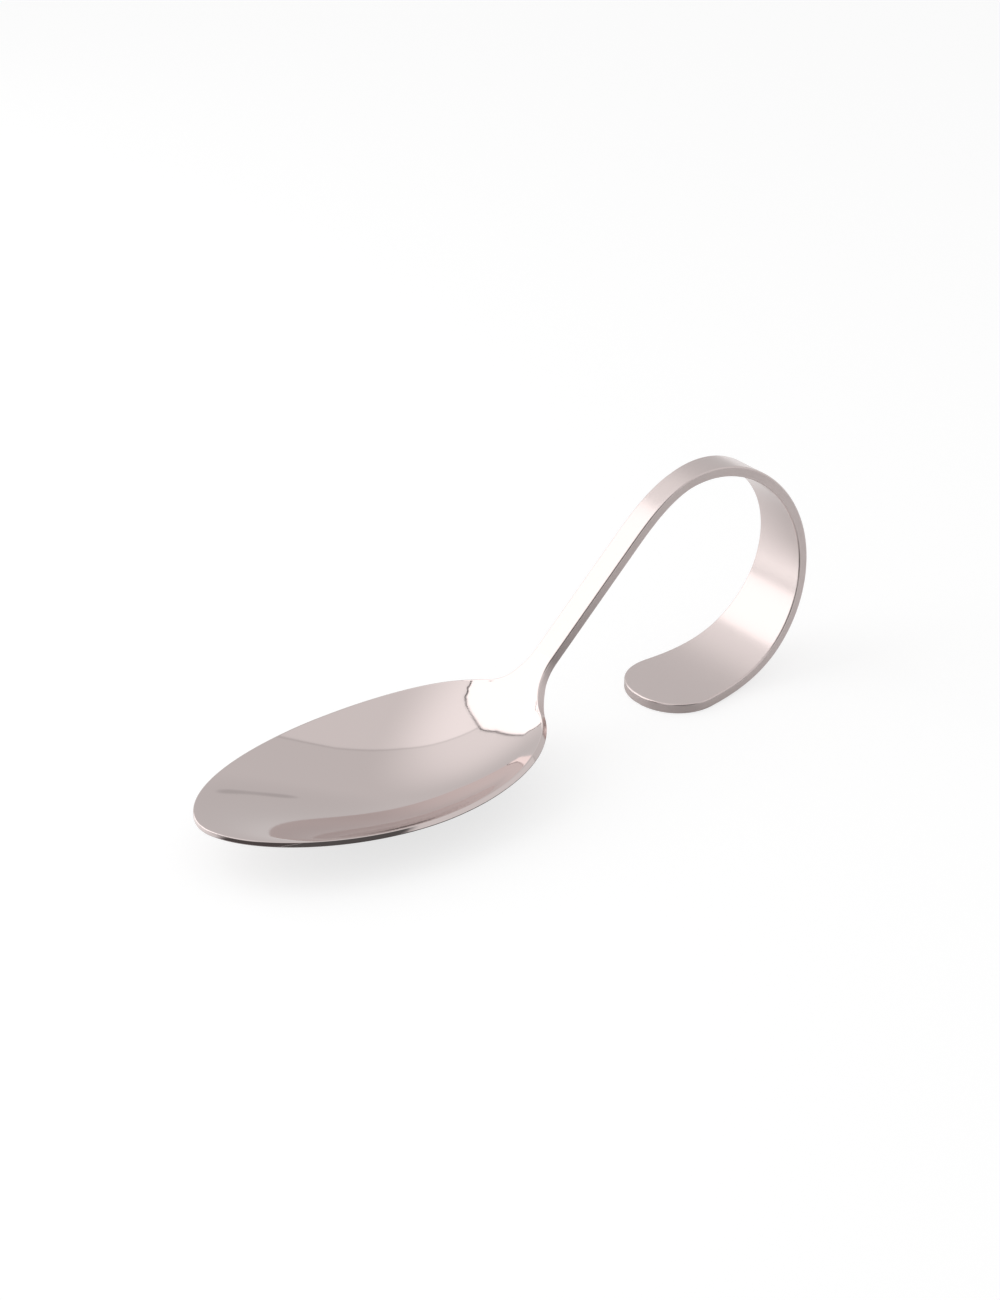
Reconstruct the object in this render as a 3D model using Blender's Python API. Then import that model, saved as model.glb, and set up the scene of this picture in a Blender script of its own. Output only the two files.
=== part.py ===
"""Amuse-bouche spoon: one steel blank, dished into a bowl and curled over into a finger loop.

The real spoon is a single piece of sheet. It is stamped to an outline, thinned and pressed at the
bowl, and bent along its length, so this model does the same: an outline on the flat blank, a line
that the blank's edge follows when it is seen from the side, and a dish pressed into one end.
The blank is divided into named solids where its form changes, and each solid starts on the very
section where the one before it stops.

Frame: X runs from the bowl's tip to the loop, Y across, Z up, with the table at Z = 0.
Lengths "along the blank" start at the bowl's tip.
"""

import math

import bmesh
import bpy
import numpy as np

MM = 0.001

# Bowl
BOWL_FRONT = 35.7 * MM           # tip to the widest line
BOWL_REAR = 29.9 * MM            # widest line to where the round rear would close
BOWL_WIDTH = 39.0 * MM
BOWL_DEPTH = 6.9 * MM            # rim down to the middle of the sheet, at the deepest place
BOWL_SHEET = 0.9 * MM
FRONT_FULLNESS = 1.82            # 2 is an ellipse and less is more pointed
REAR_FULLNESS = 2.18
DISH_ENTRY = 1.63                # 1 starts the dish at full slope by the tip, more starts it gently
DISH_RUNOUT = 1.3                # 1 ends the dish at a corner by the neck, more fades it out
DISH_TAIL = 3.1 * MM             # the dish runs on this far past the bowl's round rear

# Rim of the bowl, seen from the side
TIP_DIP = math.radians(3.87)     # the rim falls from the tip towards the middle
RIM_ROOT_RADIUS = 126.7 * MM     # the rim is straight at the tip and bends to this by the neck

# Neck and shank
NECK_LEAD = 5.86 * MM            # the neck starts to bend this far inside the bowl's round rear
NECK_RADIUS = 7.62 * MM
NECK_ENTRY = math.radians(10.7)  # turn by which the neck reaches its full bend
SHOULDER_FILLET = 10.1 * MM
SHANK_ANGLE = math.radians(43.33)
SHANK_WIDTH = 4.52 * MM
HANDLE_SHEET = 1.86 * MM
THICKENING = 23.0 * MM           # the sheet thickens to the handle over this length before the shank

# Finger loop: radius at four places, and the turn from each to the next
CREST_RADIUS = 16.7 * MM
BACK_RADIUS = 21.5 * MM
HEEL_RADIUS = 18.4 * MM
RUNOUT_RADIUS = 38.3 * MM
CREST_TURN = math.radians(25.9)
BACK_TURN = math.radians(59.7)
HEEL_TURN = math.radians(110.4)
RUNOUT_TURN = math.radians(19.8)

# Foot
FOOT_WIDTH = 20.0 * MM           # width that the widening strip would have at its very end
FOOT_FLAT = 4.9 * MM             # length that lies flat on the table
FOOT_TIP = 9.65 * MM             # length of the rounded end
WIDENING = 1.18                  # 1 widens the loop evenly, more widens it later

# Edges
EDGE_BREAK = 0.12 * MM            # corners of the cut edges are broken by this much
BREAK_SHARE = 0.4                # and by no more than this share of the sheet or the half width
TIP_TRIM = 0.05 * MM             # the two round ends stop this far short of a point

# Facets
LINE_STEP = 0.02 * MM
OUTLINE_SAMPLES = 4000
TABLE_SAMPLES = 400
HALVINGS = 60
BOWL_ACROSS = 13                 # points across a section, a whole multiple of the handle's spans
HANDLE_ACROSS = 5
BOWL_RINGS = 40
NECK_RINGS = 10
SHANK_RINGS = 2
LOOP_RINGS = 44
FOOT_RINGS = 18
END_CROWDING = 1.5               # sections crowd towards a round end by this power
CREASE = math.radians(30.0)      # facets that meet at more than this are shaded as a corner

# Finish
STEEL = (0.503, 0.440, 0.429, 1.0)
MIRROR = 0.08                    # roughness of the polished bowl
SATIN = 0.18                     # roughness of the handle
OBJECT_NAME = "amuse_bouche_spoon"


def turning(angle, start, end):
    """A stretch that turns by an angle while its curvature changes evenly from start to end."""
    return (2.0 * angle / (start + end), start, end)


def stretches(shank_length):
    """The blank's edge line as stretches of (length, curvature at its start, curvature at its end)."""
    rim = (BOWL_FRONT + BOWL_REAR - NECK_LEAD, 0.0, 1.0 / RIM_ROOT_RADIUS)
    rim_turn = rim[0] * rim[2] / 2.0
    neck_rest = SHANK_ANGLE + TIP_DIP - rim_turn - NECK_ENTRY
    flattening = SHANK_ANGLE + math.pi - CREST_TURN - BACK_TURN - HEEL_TURN - RUNOUT_TURN
    return {
        "rim": rim,
        "neck_in": turning(NECK_ENTRY, rim[2], 1.0 / NECK_RADIUS),
        "neck_out": turning(neck_rest, 1.0 / NECK_RADIUS, 0.0),
        "shank": (shank_length, 0.0, 0.0),
        "crest": turning(-CREST_TURN, 0.0, -1.0 / CREST_RADIUS),
        "back": turning(-BACK_TURN, -1.0 / CREST_RADIUS, -1.0 / BACK_RADIUS),
        "heel": turning(-HEEL_TURN, -1.0 / BACK_RADIUS, -1.0 / HEEL_RADIUS),
        "runout": turning(-RUNOUT_TURN, -1.0 / HEEL_RADIUS, -1.0 / RUNOUT_RADIUS),
        "flattening": turning(-flattening, -1.0 / RUNOUT_RADIUS, 0.0),
        "flat": (FOOT_FLAT, 0.0, 0.0),
    }


def smooth(t):
    """Smooth step from 0 to 1."""
    t = np.clip(t, 0.0, 1.0)
    return t * t * (3.0 - 2.0 * t)


class Blank:
    """The bent blank: where a place on the flat blank lies in the finished spoon."""

    def __init__(self, shank_length):
        parts = stretches(shank_length)
        self.ends = dict(zip(parts, np.cumsum([part[0] for part in parts.values()])))
        self.length = self.ends["flat"]
        self.dish_end = BOWL_FRONT + BOWL_REAR + DISH_TAIL
        self.along = np.arange(0.0, self.length + LINE_STEP, LINE_STEP)
        self.heading = np.full_like(self.along, -TIP_DIP)
        start = 0.0
        for length, bend_in, bend_out in parts.values():
            done = np.clip(self.along - start, 0.0, length)
            if length > 0.0:
                self.heading += bend_in * done + (bend_out - bend_in) * done ** 2 / (2.0 * length)
            start += length
        self.x = self.walk(np.cos(self.heading))
        self.z = self.walk(np.sin(self.heading))
        self.fillet_start, self.fillet_end = self.shoulder()

    def walk(self, step):
        """Add up the steps along the line, from its start."""
        return np.concatenate(([0.0], np.cumsum((step[1:] + step[:-1]) / 2.0 * LINE_STEP)))

    def bowl_half_width(self, along):
        """Egg-shaped outline of the bowl, before the shoulders are filleted."""
        front = np.clip((BOWL_FRONT - along) / BOWL_FRONT, 0.0, 1.0) ** FRONT_FULLNESS
        rear = np.clip((along - BOWL_FRONT) / BOWL_REAR, 0.0, 1.0) ** REAR_FULLNESS
        share = np.where(along < BOWL_FRONT, (1.0 - front) ** (1.0 / FRONT_FULLNESS),
                         (1.0 - rear) ** (1.0 / REAR_FULLNESS))
        return BOWL_WIDTH / 2.0 * share

    def shoulder(self):
        """Where a fillet that touches the bowl's outline and the shank's side begins and ends."""
        rear = np.linspace(BOWL_FRONT, BOWL_FRONT + BOWL_REAR, OUTLINE_SAMPLES)
        above = self.bowl_half_width(rear) - SHANK_WIDTH / 2.0 - SHOULDER_FILLET
        low, high = BOWL_FRONT, BOWL_FRONT + BOWL_REAR + SHOULDER_FILLET
        for _ in range(HALVINGS):
            middle = (low + high) / 2.0
            if np.hypot(rear - middle, above).min() < SHOULDER_FILLET:
                low = middle
            else:
                high = middle
        return rear[np.hypot(rear - high, above).argmin()], high

    def half_width(self, along):
        """Half the blank's width at a place along it."""
        side = SHANK_WIDTH / 2.0
        if along < self.fillet_start:
            return float(self.bowl_half_width(along))
        if along < self.fillet_end:
            return side + SHOULDER_FILLET - math.sqrt(SHOULDER_FILLET ** 2 - (self.fillet_end - along) ** 2)
        crest = self.ends["crest"]
        widened = max(along - crest, 0.0) / (self.length - crest)
        side += (FOOT_WIDTH / 2.0 - side) * widened ** WIDENING
        rounded = max(along - self.length + FOOT_TIP, 0.0) / FOOT_TIP
        return side * math.sqrt(1.0 - rounded ** 2)

    def sheet(self, along):
        """Thickness of the sheet at a place along the blank."""
        thick = self.ends["neck_out"]
        share = smooth((along - thick + THICKENING) / THICKENING)
        return BOWL_SHEET + (HANDLE_SHEET - BOWL_SHEET) * share

    def dish(self, along, across):
        """Depth of the dish and its slope across, at shares of the half width from -1 to 1."""
        run = min(along / self.dish_end, 1.0)
        deepest = DISH_ENTRY / (DISH_ENTRY + DISH_RUNOUT)
        entry = (run / deepest) ** DISH_ENTRY
        runout = ((1.0 - run) / (1.0 - deepest)) ** DISH_RUNOUT
        depth = BOWL_DEPTH * entry * runout
        return depth * (1.0 - across ** 2), -2.0 * depth * across / self.half_width(along)

    def section(self, along, points):
        """Closed ring of points round the sheet, in the plane square to the blank's edge line."""
        half = self.half_width(along)
        sheet = self.sheet(along)
        broken = min(EDGE_BREAK, BREAK_SHARE * half, BREAK_SHARE * sheet)
        across = np.linspace(-1.0, 1.0, points) * (1.0 - broken / half)
        depth, slope = self.dish(along, across)
        middle = np.column_stack((half * across, -depth))
        normal = np.column_stack((slope, np.ones_like(slope))) / np.sqrt(1.0 + slope ** 2)[:, None]
        upper = middle + normal * sheet / 2.0
        lower = middle - normal * sheet / 2.0
        _, edge_slope = self.dish(along, np.array([-1.0, 1.0]))
        edge_normal = np.column_stack((edge_slope, np.ones(2))) / np.sqrt(1.0 + edge_slope ** 2)[:, None]
        edge = np.array([[-half, 0.0], [half, 0.0]])
        edge_upper = edge + edge_normal * (sheet / 2.0 - broken)
        edge_lower = edge - edge_normal * (sheet / 2.0 - broken)
        ring = np.vstack((upper, edge_upper[1], edge_lower[1], lower[::-1], edge_lower[0], edge_upper[0]))
        heading = np.interp(along, self.along, self.heading)
        x = np.interp(along, self.along, self.x) - ring[:, 1] * math.sin(heading)
        z = np.interp(along, self.along, self.z) + ring[:, 1] * math.cos(heading)
        return np.column_stack((x, ring[:, 0], z))


def lowest(blank, start, end):
    """Height of the lowest point of the sheet between two places along the blank."""
    places = np.linspace(start, end, TABLE_SAMPLES)
    return min(blank.section(along, BOWL_ACROSS)[:, 2].min() for along in places)


def bent_blank():
    """The blank with the shank long enough for the bowl and the foot to rest on one table."""
    trial = Blank(0.0)
    bowl_bottom = lowest(trial, TIP_TRIM, trial.fillet_start)
    foot_bottom = lowest(trial, trial.ends["flattening"], trial.length - TIP_TRIM)
    return Blank((bowl_bottom - foot_bottom) / math.sin(SHANK_ANGLE))


def stations(start, end, count, crowded=None):
    """Places along the blank from start to end, crowded towards a round end where there is one."""
    share = np.linspace(0.0, 1.0, count + 1)
    if crowded == "start":
        share = share ** END_CROWDING
    if crowded == "end":
        share = 1.0 - share[::-1] ** END_CROWDING
    return start + (end - start) * share


def steel(name, roughness):
    """Polished steel; a higher roughness is a more satin finish."""
    material = bpy.data.materials.new(name)
    material.use_nodes = True
    shader = material.node_tree.nodes["Principled BSDF"]
    shader.inputs["Base Color"].default_value = STEEL
    shader.inputs["Metallic"].default_value = 1.0
    shader.inputs["Roughness"].default_value = roughness
    return material


def loft(name, rings, material, collection, parent):
    """Solid through rings that all have the same number of points, closed at both ends."""
    origin = rings[0].mean(axis=0)
    mesh = bpy.data.meshes.new(name)
    shape = bmesh.new()
    loops = [[shape.verts.new(point - origin) for point in ring] for ring in rings]
    count = len(loops[0])
    for near, far in zip(loops, loops[1:]):
        for i in range(count):
            j = (i + 1) % count
            shape.faces.new((near[i], near[j], far[j], far[i]))
    shape.faces.new(loops[0])
    shape.faces.new(loops[-1])
    bmesh.ops.recalc_face_normals(shape, faces=shape.faces)
    shape.to_mesh(mesh)
    shape.free()
    mesh.shade_smooth()
    mesh.set_sharp_from_angle(angle=CREASE)
    mesh.materials.append(material)
    solid = bpy.data.objects.new(name, mesh)
    solid.location = origin
    solid.parent = parent
    collection.objects.link(solid)
    return solid


def main():
    for old in list(bpy.data.objects):
        bpy.data.objects.remove(old, do_unlink=True)
    collection = bpy.data.collections.new(OBJECT_NAME)
    bpy.context.scene.collection.children.link(collection)

    blank = bent_blank()
    neck_end = max(blank.fillet_end, blank.ends["neck_out"], blank.dish_end)
    loop_start = max(blank.ends["shank"], neck_end)
    foot_start = blank.ends["heel"]
    foot_end = blank.length - TIP_TRIM
    bowl = stations(TIP_TRIM, blank.fillet_start, BOWL_RINGS, "start")
    neck = stations(blank.fillet_start, neck_end, NECK_RINGS)
    shank = stations(neck_end, loop_start, SHANK_RINGS)
    loop = stations(loop_start, foot_start, LOOP_RINGS)
    foot = stations(foot_start, foot_end, FOOT_RINGS, "end")

    everything = np.vstack([blank.section(along, BOWL_ACROSS) for along in np.concatenate((bowl, loop, foot))])
    middle = (everything[:, 0].min() + everything[:, 0].max()) / 2.0
    table = np.array([middle, 0.0, everything[:, 2].min()])
    spoon = bpy.data.objects.new(OBJECT_NAME, None)
    collection.objects.link(spoon)

    pieces = (
        ("bowl", bowl, BOWL_ACROSS, MIRROR),
        ("neck", neck, BOWL_ACROSS, MIRROR),
        ("shank", shank, HANDLE_ACROSS, SATIN),
        ("finger_loop", loop, HANDLE_ACROSS, SATIN),
        ("foot", foot, HANDLE_ACROSS, SATIN),
    )
    for name, places, points, roughness in pieces:
        rings = [blank.section(along, points) - table for along in places]
        loft(name, rings, steel(name + "_steel", roughness), collection, spoon)


main()
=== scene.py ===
"""Looks of the amuse-bouche spoon: the bent steel blank with its finishes, and a small photo studio.

The spoon is one steel blank. Its outline lies on the flat blank, a line gives the blank's edge seen
from the side, and a dish is pressed into one end. Each length of the blank is a piece of its own,
made on the same rows of points as its neighbours, so the surface runs on without a seam.
"""

import math

import bmesh
import bpy
import numpy as np
from bpy.props import FloatProperty, FloatVectorProperty, IntProperty, PointerProperty
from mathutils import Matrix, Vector


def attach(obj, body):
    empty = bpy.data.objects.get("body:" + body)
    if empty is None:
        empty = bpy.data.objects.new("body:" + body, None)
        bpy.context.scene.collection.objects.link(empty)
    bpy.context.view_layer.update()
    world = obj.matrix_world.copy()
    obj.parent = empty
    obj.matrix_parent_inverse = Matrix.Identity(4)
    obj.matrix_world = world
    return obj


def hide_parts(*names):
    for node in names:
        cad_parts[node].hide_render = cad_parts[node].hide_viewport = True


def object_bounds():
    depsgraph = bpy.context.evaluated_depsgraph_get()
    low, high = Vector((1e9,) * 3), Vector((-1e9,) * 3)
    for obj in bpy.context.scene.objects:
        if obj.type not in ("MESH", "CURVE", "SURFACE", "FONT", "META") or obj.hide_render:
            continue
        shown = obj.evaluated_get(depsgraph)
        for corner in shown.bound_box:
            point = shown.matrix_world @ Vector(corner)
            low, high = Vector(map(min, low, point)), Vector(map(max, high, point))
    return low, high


bl_info = {
    "name": "Amuse-bouche spoon",
    "version": (1, 0, 0),
    "blender": (4, 5, 0),
    "location": "View3D > Sidebar > Spoon",
    "description": "Builds a bent steel serving spoon with a finger loop, and a studio to show it in",
    "category": "Object",
}

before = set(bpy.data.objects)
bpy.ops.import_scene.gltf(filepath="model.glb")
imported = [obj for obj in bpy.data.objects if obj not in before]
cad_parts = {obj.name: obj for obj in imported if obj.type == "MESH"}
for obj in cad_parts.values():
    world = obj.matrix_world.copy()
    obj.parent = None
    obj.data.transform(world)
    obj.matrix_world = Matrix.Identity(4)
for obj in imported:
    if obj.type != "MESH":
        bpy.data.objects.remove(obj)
CAD_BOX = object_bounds()

PICTURE_WIDTH = 1000
SENSOR_WIDTH = 36.0
CLIP_START = 0.01

# Steps with which the blank's lines are walked, measured and searched, in metres where they are lengths.
LINE_STEP = 0.00002
PROBE = 0.00005
PROBE_ALONG = PROBE / 4.0
HALVINGS = 60
REAR_PLACES = 4000
OUTLINE_PLACES = 1500
TIP_REACH = 0.003
EDGE_REACH = 0.003
SMALLEST_LEG = 1e-18
CORNERS_ACROSS = 3.0

# Noise behind the rub lines and the marks of handling.
LINE_DETAIL = 3.0
LINE_ROUGHNESS = 0.6
MARKS_PER_METRE = 90.0
MARK_DETAIL = 4.0
MARK_ROUGHNESS = 0.55
NOISE_MIDDLE = 0.25

FLOOR_SIDES = 96
WHITE = (1.0, 1.0, 1.0, 1.0)
BLACK = (0.02, 0.02, 0.02, 1.0)
CLOTH_ROUGHNESS = 0.9

FINISH_NAMES = {"mirror": "Polished steel", "satin": "Satin steel", "ground": "Ground steel"}
SOFTBOX_CORNERS = ("foot", "left", "step", "low", "side", "edge", "dent", "bulge", "lean", "rise",
                   "shoulder", "head", "crown", "back")


def length(name, default, description):
    """A size in metres."""
    return FloatProperty(name=name, description=description, default=default, unit="LENGTH", precision=5)


def angle(name, degrees, description):
    """An angle, given in degrees."""
    default = math.radians(degrees)
    return FloatProperty(name=name, description=description, default=default, subtype="ANGLE")


def share(name, default, description, most=10.0):
    """A plain number, such as a factor or a roughness."""
    return FloatProperty(name=name, description=description, default=default, min=0.0, max=most,
                         precision=3)


def amount(name, default, description):
    """A plain number that may be large."""
    return FloatProperty(name=name, description=description, default=default, min=0.0)


def count(name, default, description):
    """A number of rows or spans."""
    return IntProperty(name=name, description=description, default=default, min=2)


def tint(name, default, description):
    """A colour."""
    return FloatVectorProperty(name=name, description=description, default=default, subtype="COLOR",
                               size=4, min=0.0, max=1.0)


def heading(name, default, description):
    """A direction."""
    return FloatVectorProperty(name=name, description=description, default=default, subtype="DIRECTION")


def spot(name, default, description):
    """A point in the frame."""
    return FloatVectorProperty(name=name, description=description, default=default, unit="LENGTH")


def corner(name, default, description):
    """A place on the floor or on the softbox."""
    return FloatVectorProperty(name=name, description=description, default=default, size=2, unit="LENGTH")


class SpoonShape(bpy.types.PropertyGroup):
    """Sizes of the blank, as it is stamped, dished and bent."""

    bowl_front: length("Bowl front", 0.0357, "Tip to the widest line")
    bowl_rear: length("Bowl rear", 0.0299, "Widest line to where the round rear would close")
    bowl_width: length("Bowl width", 0.039, "Across the widest line")
    bowl_depth: length("Bowl depth", 0.0069, "Rim down to the middle of the sheet")
    bowl_sheet: length("Bowl sheet", 0.0009, "Thickness of the bowl")
    front_fullness: share("Front fullness", 1.82, "2 is an ellipse and less is more pointed")
    rear_fullness: share("Rear fullness", 2.18, "2 is an ellipse and more is squarer")
    dish_entry: share("Dish entry", 1.63, "More starts the dish gently at the tip")
    dish_runout: share("Dish runout", 1.3, "More fades the dish out at the neck")
    dish_tail: length("Dish tail", 0.0031, "How far the dish runs on past the round rear")
    tip_dip: angle("Tip dip", 3.87, "Fall of the rim from the tip")
    rim_root_radius: length("Rim radius", 0.1267, "Bend of the rim by the neck, seen from the side")
    neck_lead: length("Neck lead", 0.00586, "The neck bends this far inside the round rear")
    neck_radius: length("Neck radius", 0.00762, "Tightest bend of the neck")
    neck_entry: angle("Neck entry", 10.7, "Turn by which the neck reaches its tightest bend")
    shoulder_fillet: length("Shoulder fillet", 0.0101, "Radius in the outline beside the neck")
    shank_angle: angle("Shank angle", 43.33, "Rise of the shank from the table")
    shank_width: length("Shank width", 0.00452, "Across the straight shank")
    handle_sheet: length("Handle sheet", 0.00186, "Thickness of the handle")
    thickening: length("Thickening", 0.023, "Length over which the sheet thickens to the handle")
    crest_radius: length("Crest radius", 0.0167, "Bend at the top of the loop")
    back_radius: length("Back radius", 0.0215, "Bend at the back of the loop")
    heel_radius: length("Heel radius", 0.0184, "Bend at the bottom of the loop")
    runout_radius: length("Runout radius", 0.0383, "Bend where the foot starts")
    crest_turn: angle("Crest turn", 25.9, "Turn up to the crest")
    back_turn: angle("Back turn", 59.7, "Turn from the crest to the back")
    heel_turn: angle("Heel turn", 110.4, "Turn from the back to the heel")
    runout_turn: angle("Runout turn", 19.8, "Turn from the heel to the foot")
    foot_width: length("Foot width", 0.02, "Width that the strip would have at its very end")
    foot_flat: length("Foot flat", 0.0049, "Length that lies flat on the table")
    foot_tip: length("Foot tip", 0.00965, "Length of the rounded end")
    widening: share("Widening", 1.18, "More widens the loop later")
    rim_round: length("Rim round", 0.00017, "Radius along the edges of the bowl")
    handle_round: length("Handle round", 0.00028, "Radius along the edges of the handle")
    rim_ease: length("Rim ease", 0.0030, "The near rim's inner face is shaded flatter this far in")
    rim_fall: angle("Rim fall", 7.0, "How far that shading leans out at the rim")
    rim_side: length("Rim side", 0.0100, "Off the middle line, where the flatter shading is full")
    tip_trim: length("Tip trim", 0.00005, "The round ends stop this far short of a point")
    rows_bowl: count("Bowl rows", 150, "Rows of points along the bowl")
    rows_neck: count("Neck rows", 36, "Rows of points along the neck")
    rows_shank: count("Shank rows", 14, "Rows of points along the shank")
    rows_loop: count("Loop rows", 120, "Rows of points along the loop")
    rows_foot: count("Foot rows", 60, "Rows of points along the foot")
    across: count("Points across", 52, "Spans across the flat of one face of the blank")
    corner: count("Corner points", 5, "Spans round the corner of a cut edge")


class SpoonFinish(bpy.types.PropertyGroup):
    """Colour and polish of the steel."""

    steel: tint("Steel", (0.705, 0.617, 0.602, 1.0), "Colour that the steel reflects")
    mirror_roughness: share("Mirror roughness", 0.055, "Roughness of the polished bowl", 1.0)
    mirror_spread: share("Mirror spread", 0.03, "How far rub lines and marks change that roughness", 1.0)
    mirror_lines: amount("Mirror lines", 2500.0, "Rub lines per metre on the bowl")
    mirror_stretch: share("Mirror stretch", 0.05, "Less draws those lines out along the blank", 1.0)
    mirror_relief: length("Mirror relief", 1e-8, "Height of the rub lines on the bowl")
    satin_roughness: share("Satin roughness", 0.23, "Roughness of the handle's faces", 1.0)
    satin_spread: share("Satin spread", 0.10, "How far rub lines and marks change that roughness", 1.0)
    satin_lines: amount("Satin lines", 9000.0, "Rub lines per metre on the handle's faces")
    satin_stretch: share("Satin stretch", 0.03, "Less draws those lines out along the blank", 1.0)
    satin_relief: length("Satin relief", 2e-7, "Height of the rub lines on the handle's faces")
    ground_roughness: share("Ground roughness", 0.42, "Roughness of the cut edges", 1.0)
    ground_spread: share("Ground spread", 0.25, "How far rub lines and marks change that roughness", 1.0)
    ground_lines: amount("Ground lines", 6000.0, "Grinding lines per metre on the cut edges")
    ground_stretch: share("Ground stretch", 0.5, "Less draws those lines out along the blank", 1.0)
    ground_relief: length("Ground relief", 2e-6, "Height of the grinding lines on the cut edges")


class SpoonStage(bpy.types.PropertyGroup):
    """Floor, light and camera."""

    floor_radius: length("Floor radius", 2.5, "Half the floor's width")
    floor: tint("Floor", (0.80, 0.80, 0.80, 1.0), "Colour that the floor throws back")
    shadow: tint("Floor shadow", (0.38, 0.38, 0.38, 1.0), "Part of the seen floor that shadows darken")
    floor_glow: share("Floor white", 0.72, "Part of the seen floor that stays white in shadow", 1.0)
    mirrored: tint("Mirrored floor", (0.72, 0.72, 0.72, 1.0), "The glossy sheet that the steel shows")
    mirrored_glow: share("Mirrored white", 0.135, "Part of that sheet that stays white in shadow", 1.0)
    # Painted light: a pool of softbox light painted into the sheet that the steel shows.
    painted_pool: share("Painted pool", 0.28, "How much more stays white under the softbox", 1.0)
    painted_pool_axis: heading("Painted pool axis", (-0.15, 1.0, 0.0), "Way along the floor in which the sheet whitens")
    painted_pool_start: length("Painted pool start", 0.010, "Along that way, from the table's middle to where it starts")
    painted_pool_end: length("Painted pool end", 0.032, "Along that way, from the table's middle to where it ends")
    sheet_gloss: share("Sheet roughness", 0.12, "Roughness of the glossy sheet", 1.0)
    # Painted shade: dark patches in the floor that only the steel shows, in front of the bowl and beyond
    # its tip, which darken the bowl's rim.
    painted_shade: tint("Dark cards", (0.12, 0.11, 0.11, 1.0), "Painted shade on the floor that darkens the bowl's rim")
    painted_shade_place: corner("Painted shade place", (-0.025, -0.060), "Middle of the card in front of the bowl")
    painted_shade_edge: length("Painted shade edge", 0.065, "From the card's middle to its edge")
    painted_shade_fade: length("Painted shade fade", 0.030, "Half the width over which the card's edge fades")
    tip_painted_shade_place: corner("Tip card place", (-0.205, -0.115), "Middle of the card beyond the tip")
    tip_painted_shade_edge: length("Tip card edge", 0.165, "From that card's middle to its edge")
    tip_painted_shade_fade: length("Tip card fade", 0.004, "Half the width over which that edge fades")
    softbox_out: heading("Softbox way", (-0.206, 0.833, 0.513), "From the table's middle to the softbox")
    softbox_right: heading("Softbox right", (0.925, -0.004, 0.379), "Along the softbox to its right")
    softbox_foot: corner("Softbox foot", (-0.660, 0.095), "Bottom left corner, from the foot of the gap")
    softbox_left: corner("Softbox left", (-0.330, -0.034), "Where the bottom bends down")
    softbox_step: corner("Softbox step", (-0.215, -0.112), "Between that bend and the lowest corner")
    softbox_low: corner("Softbox low", (-0.135, -0.212), "Lowest corner, on the floor")
    softbox_side: corner("Softbox side", (0.052, -0.124), "Lower right corner")
    softbox_edge: corner("Softbox edge", (0.071, -0.105), "Bottom of the right side")
    softbox_dent: corner("Softbox dent", (0.066, 0.062), "Where the right side is pulled in")
    softbox_bulge: corner("Softbox bulge", (0.073, 0.140), "Widest place of the right side")
    softbox_lean: corner("Softbox lean", (0.060, 0.290), "Where the right side leans in")
    softbox_rise: corner("Softbox rise", (0.051, 0.352), "Below the upper right corner")
    softbox_shoulder: corner("Softbox shoulder", (0.030, 0.411), "Upper right corner")
    softbox_head: corner("Softbox head", (-0.034, 0.466), "Right end of the top")
    softbox_crown: corner("Softbox crown", (-0.200, 0.494), "Highest place of the top")
    softbox_back: corner("Softbox back", (-0.660, 0.500), "Top left corner")
    softbox_frame: length("Softbox frame", 0.0036, "Width of the dark frame round the softbox")
    softbox_hood: length("Softbox hood", 0.015, "Width of the frame at the top")
    softbox_gap: length("Softbox gap", 0.420, "From the table's middle to the softbox")
    softbox_level: share("Softbox level", 1.65, "Brightness of the softbox, where 1 is white")
    room_level: share("Room level", 0.60, "Brightness of the tent on matt things, where 1 is white")
    camera_target: spot("Camera target", (-0.002308, 0.0, 0.020923), "Point in the picture's middle")
    camera_turn: angle("Camera turn", -37.98, "Round the spoon, from straight in front")
    camera_height: angle("Camera height", 28.585, "Above the table")
    camera_distance: length("Camera distance", 0.5414, "From the target")
    focal_pixels: amount("Focal length", 3237.6, "In pixels of the picture")


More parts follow.
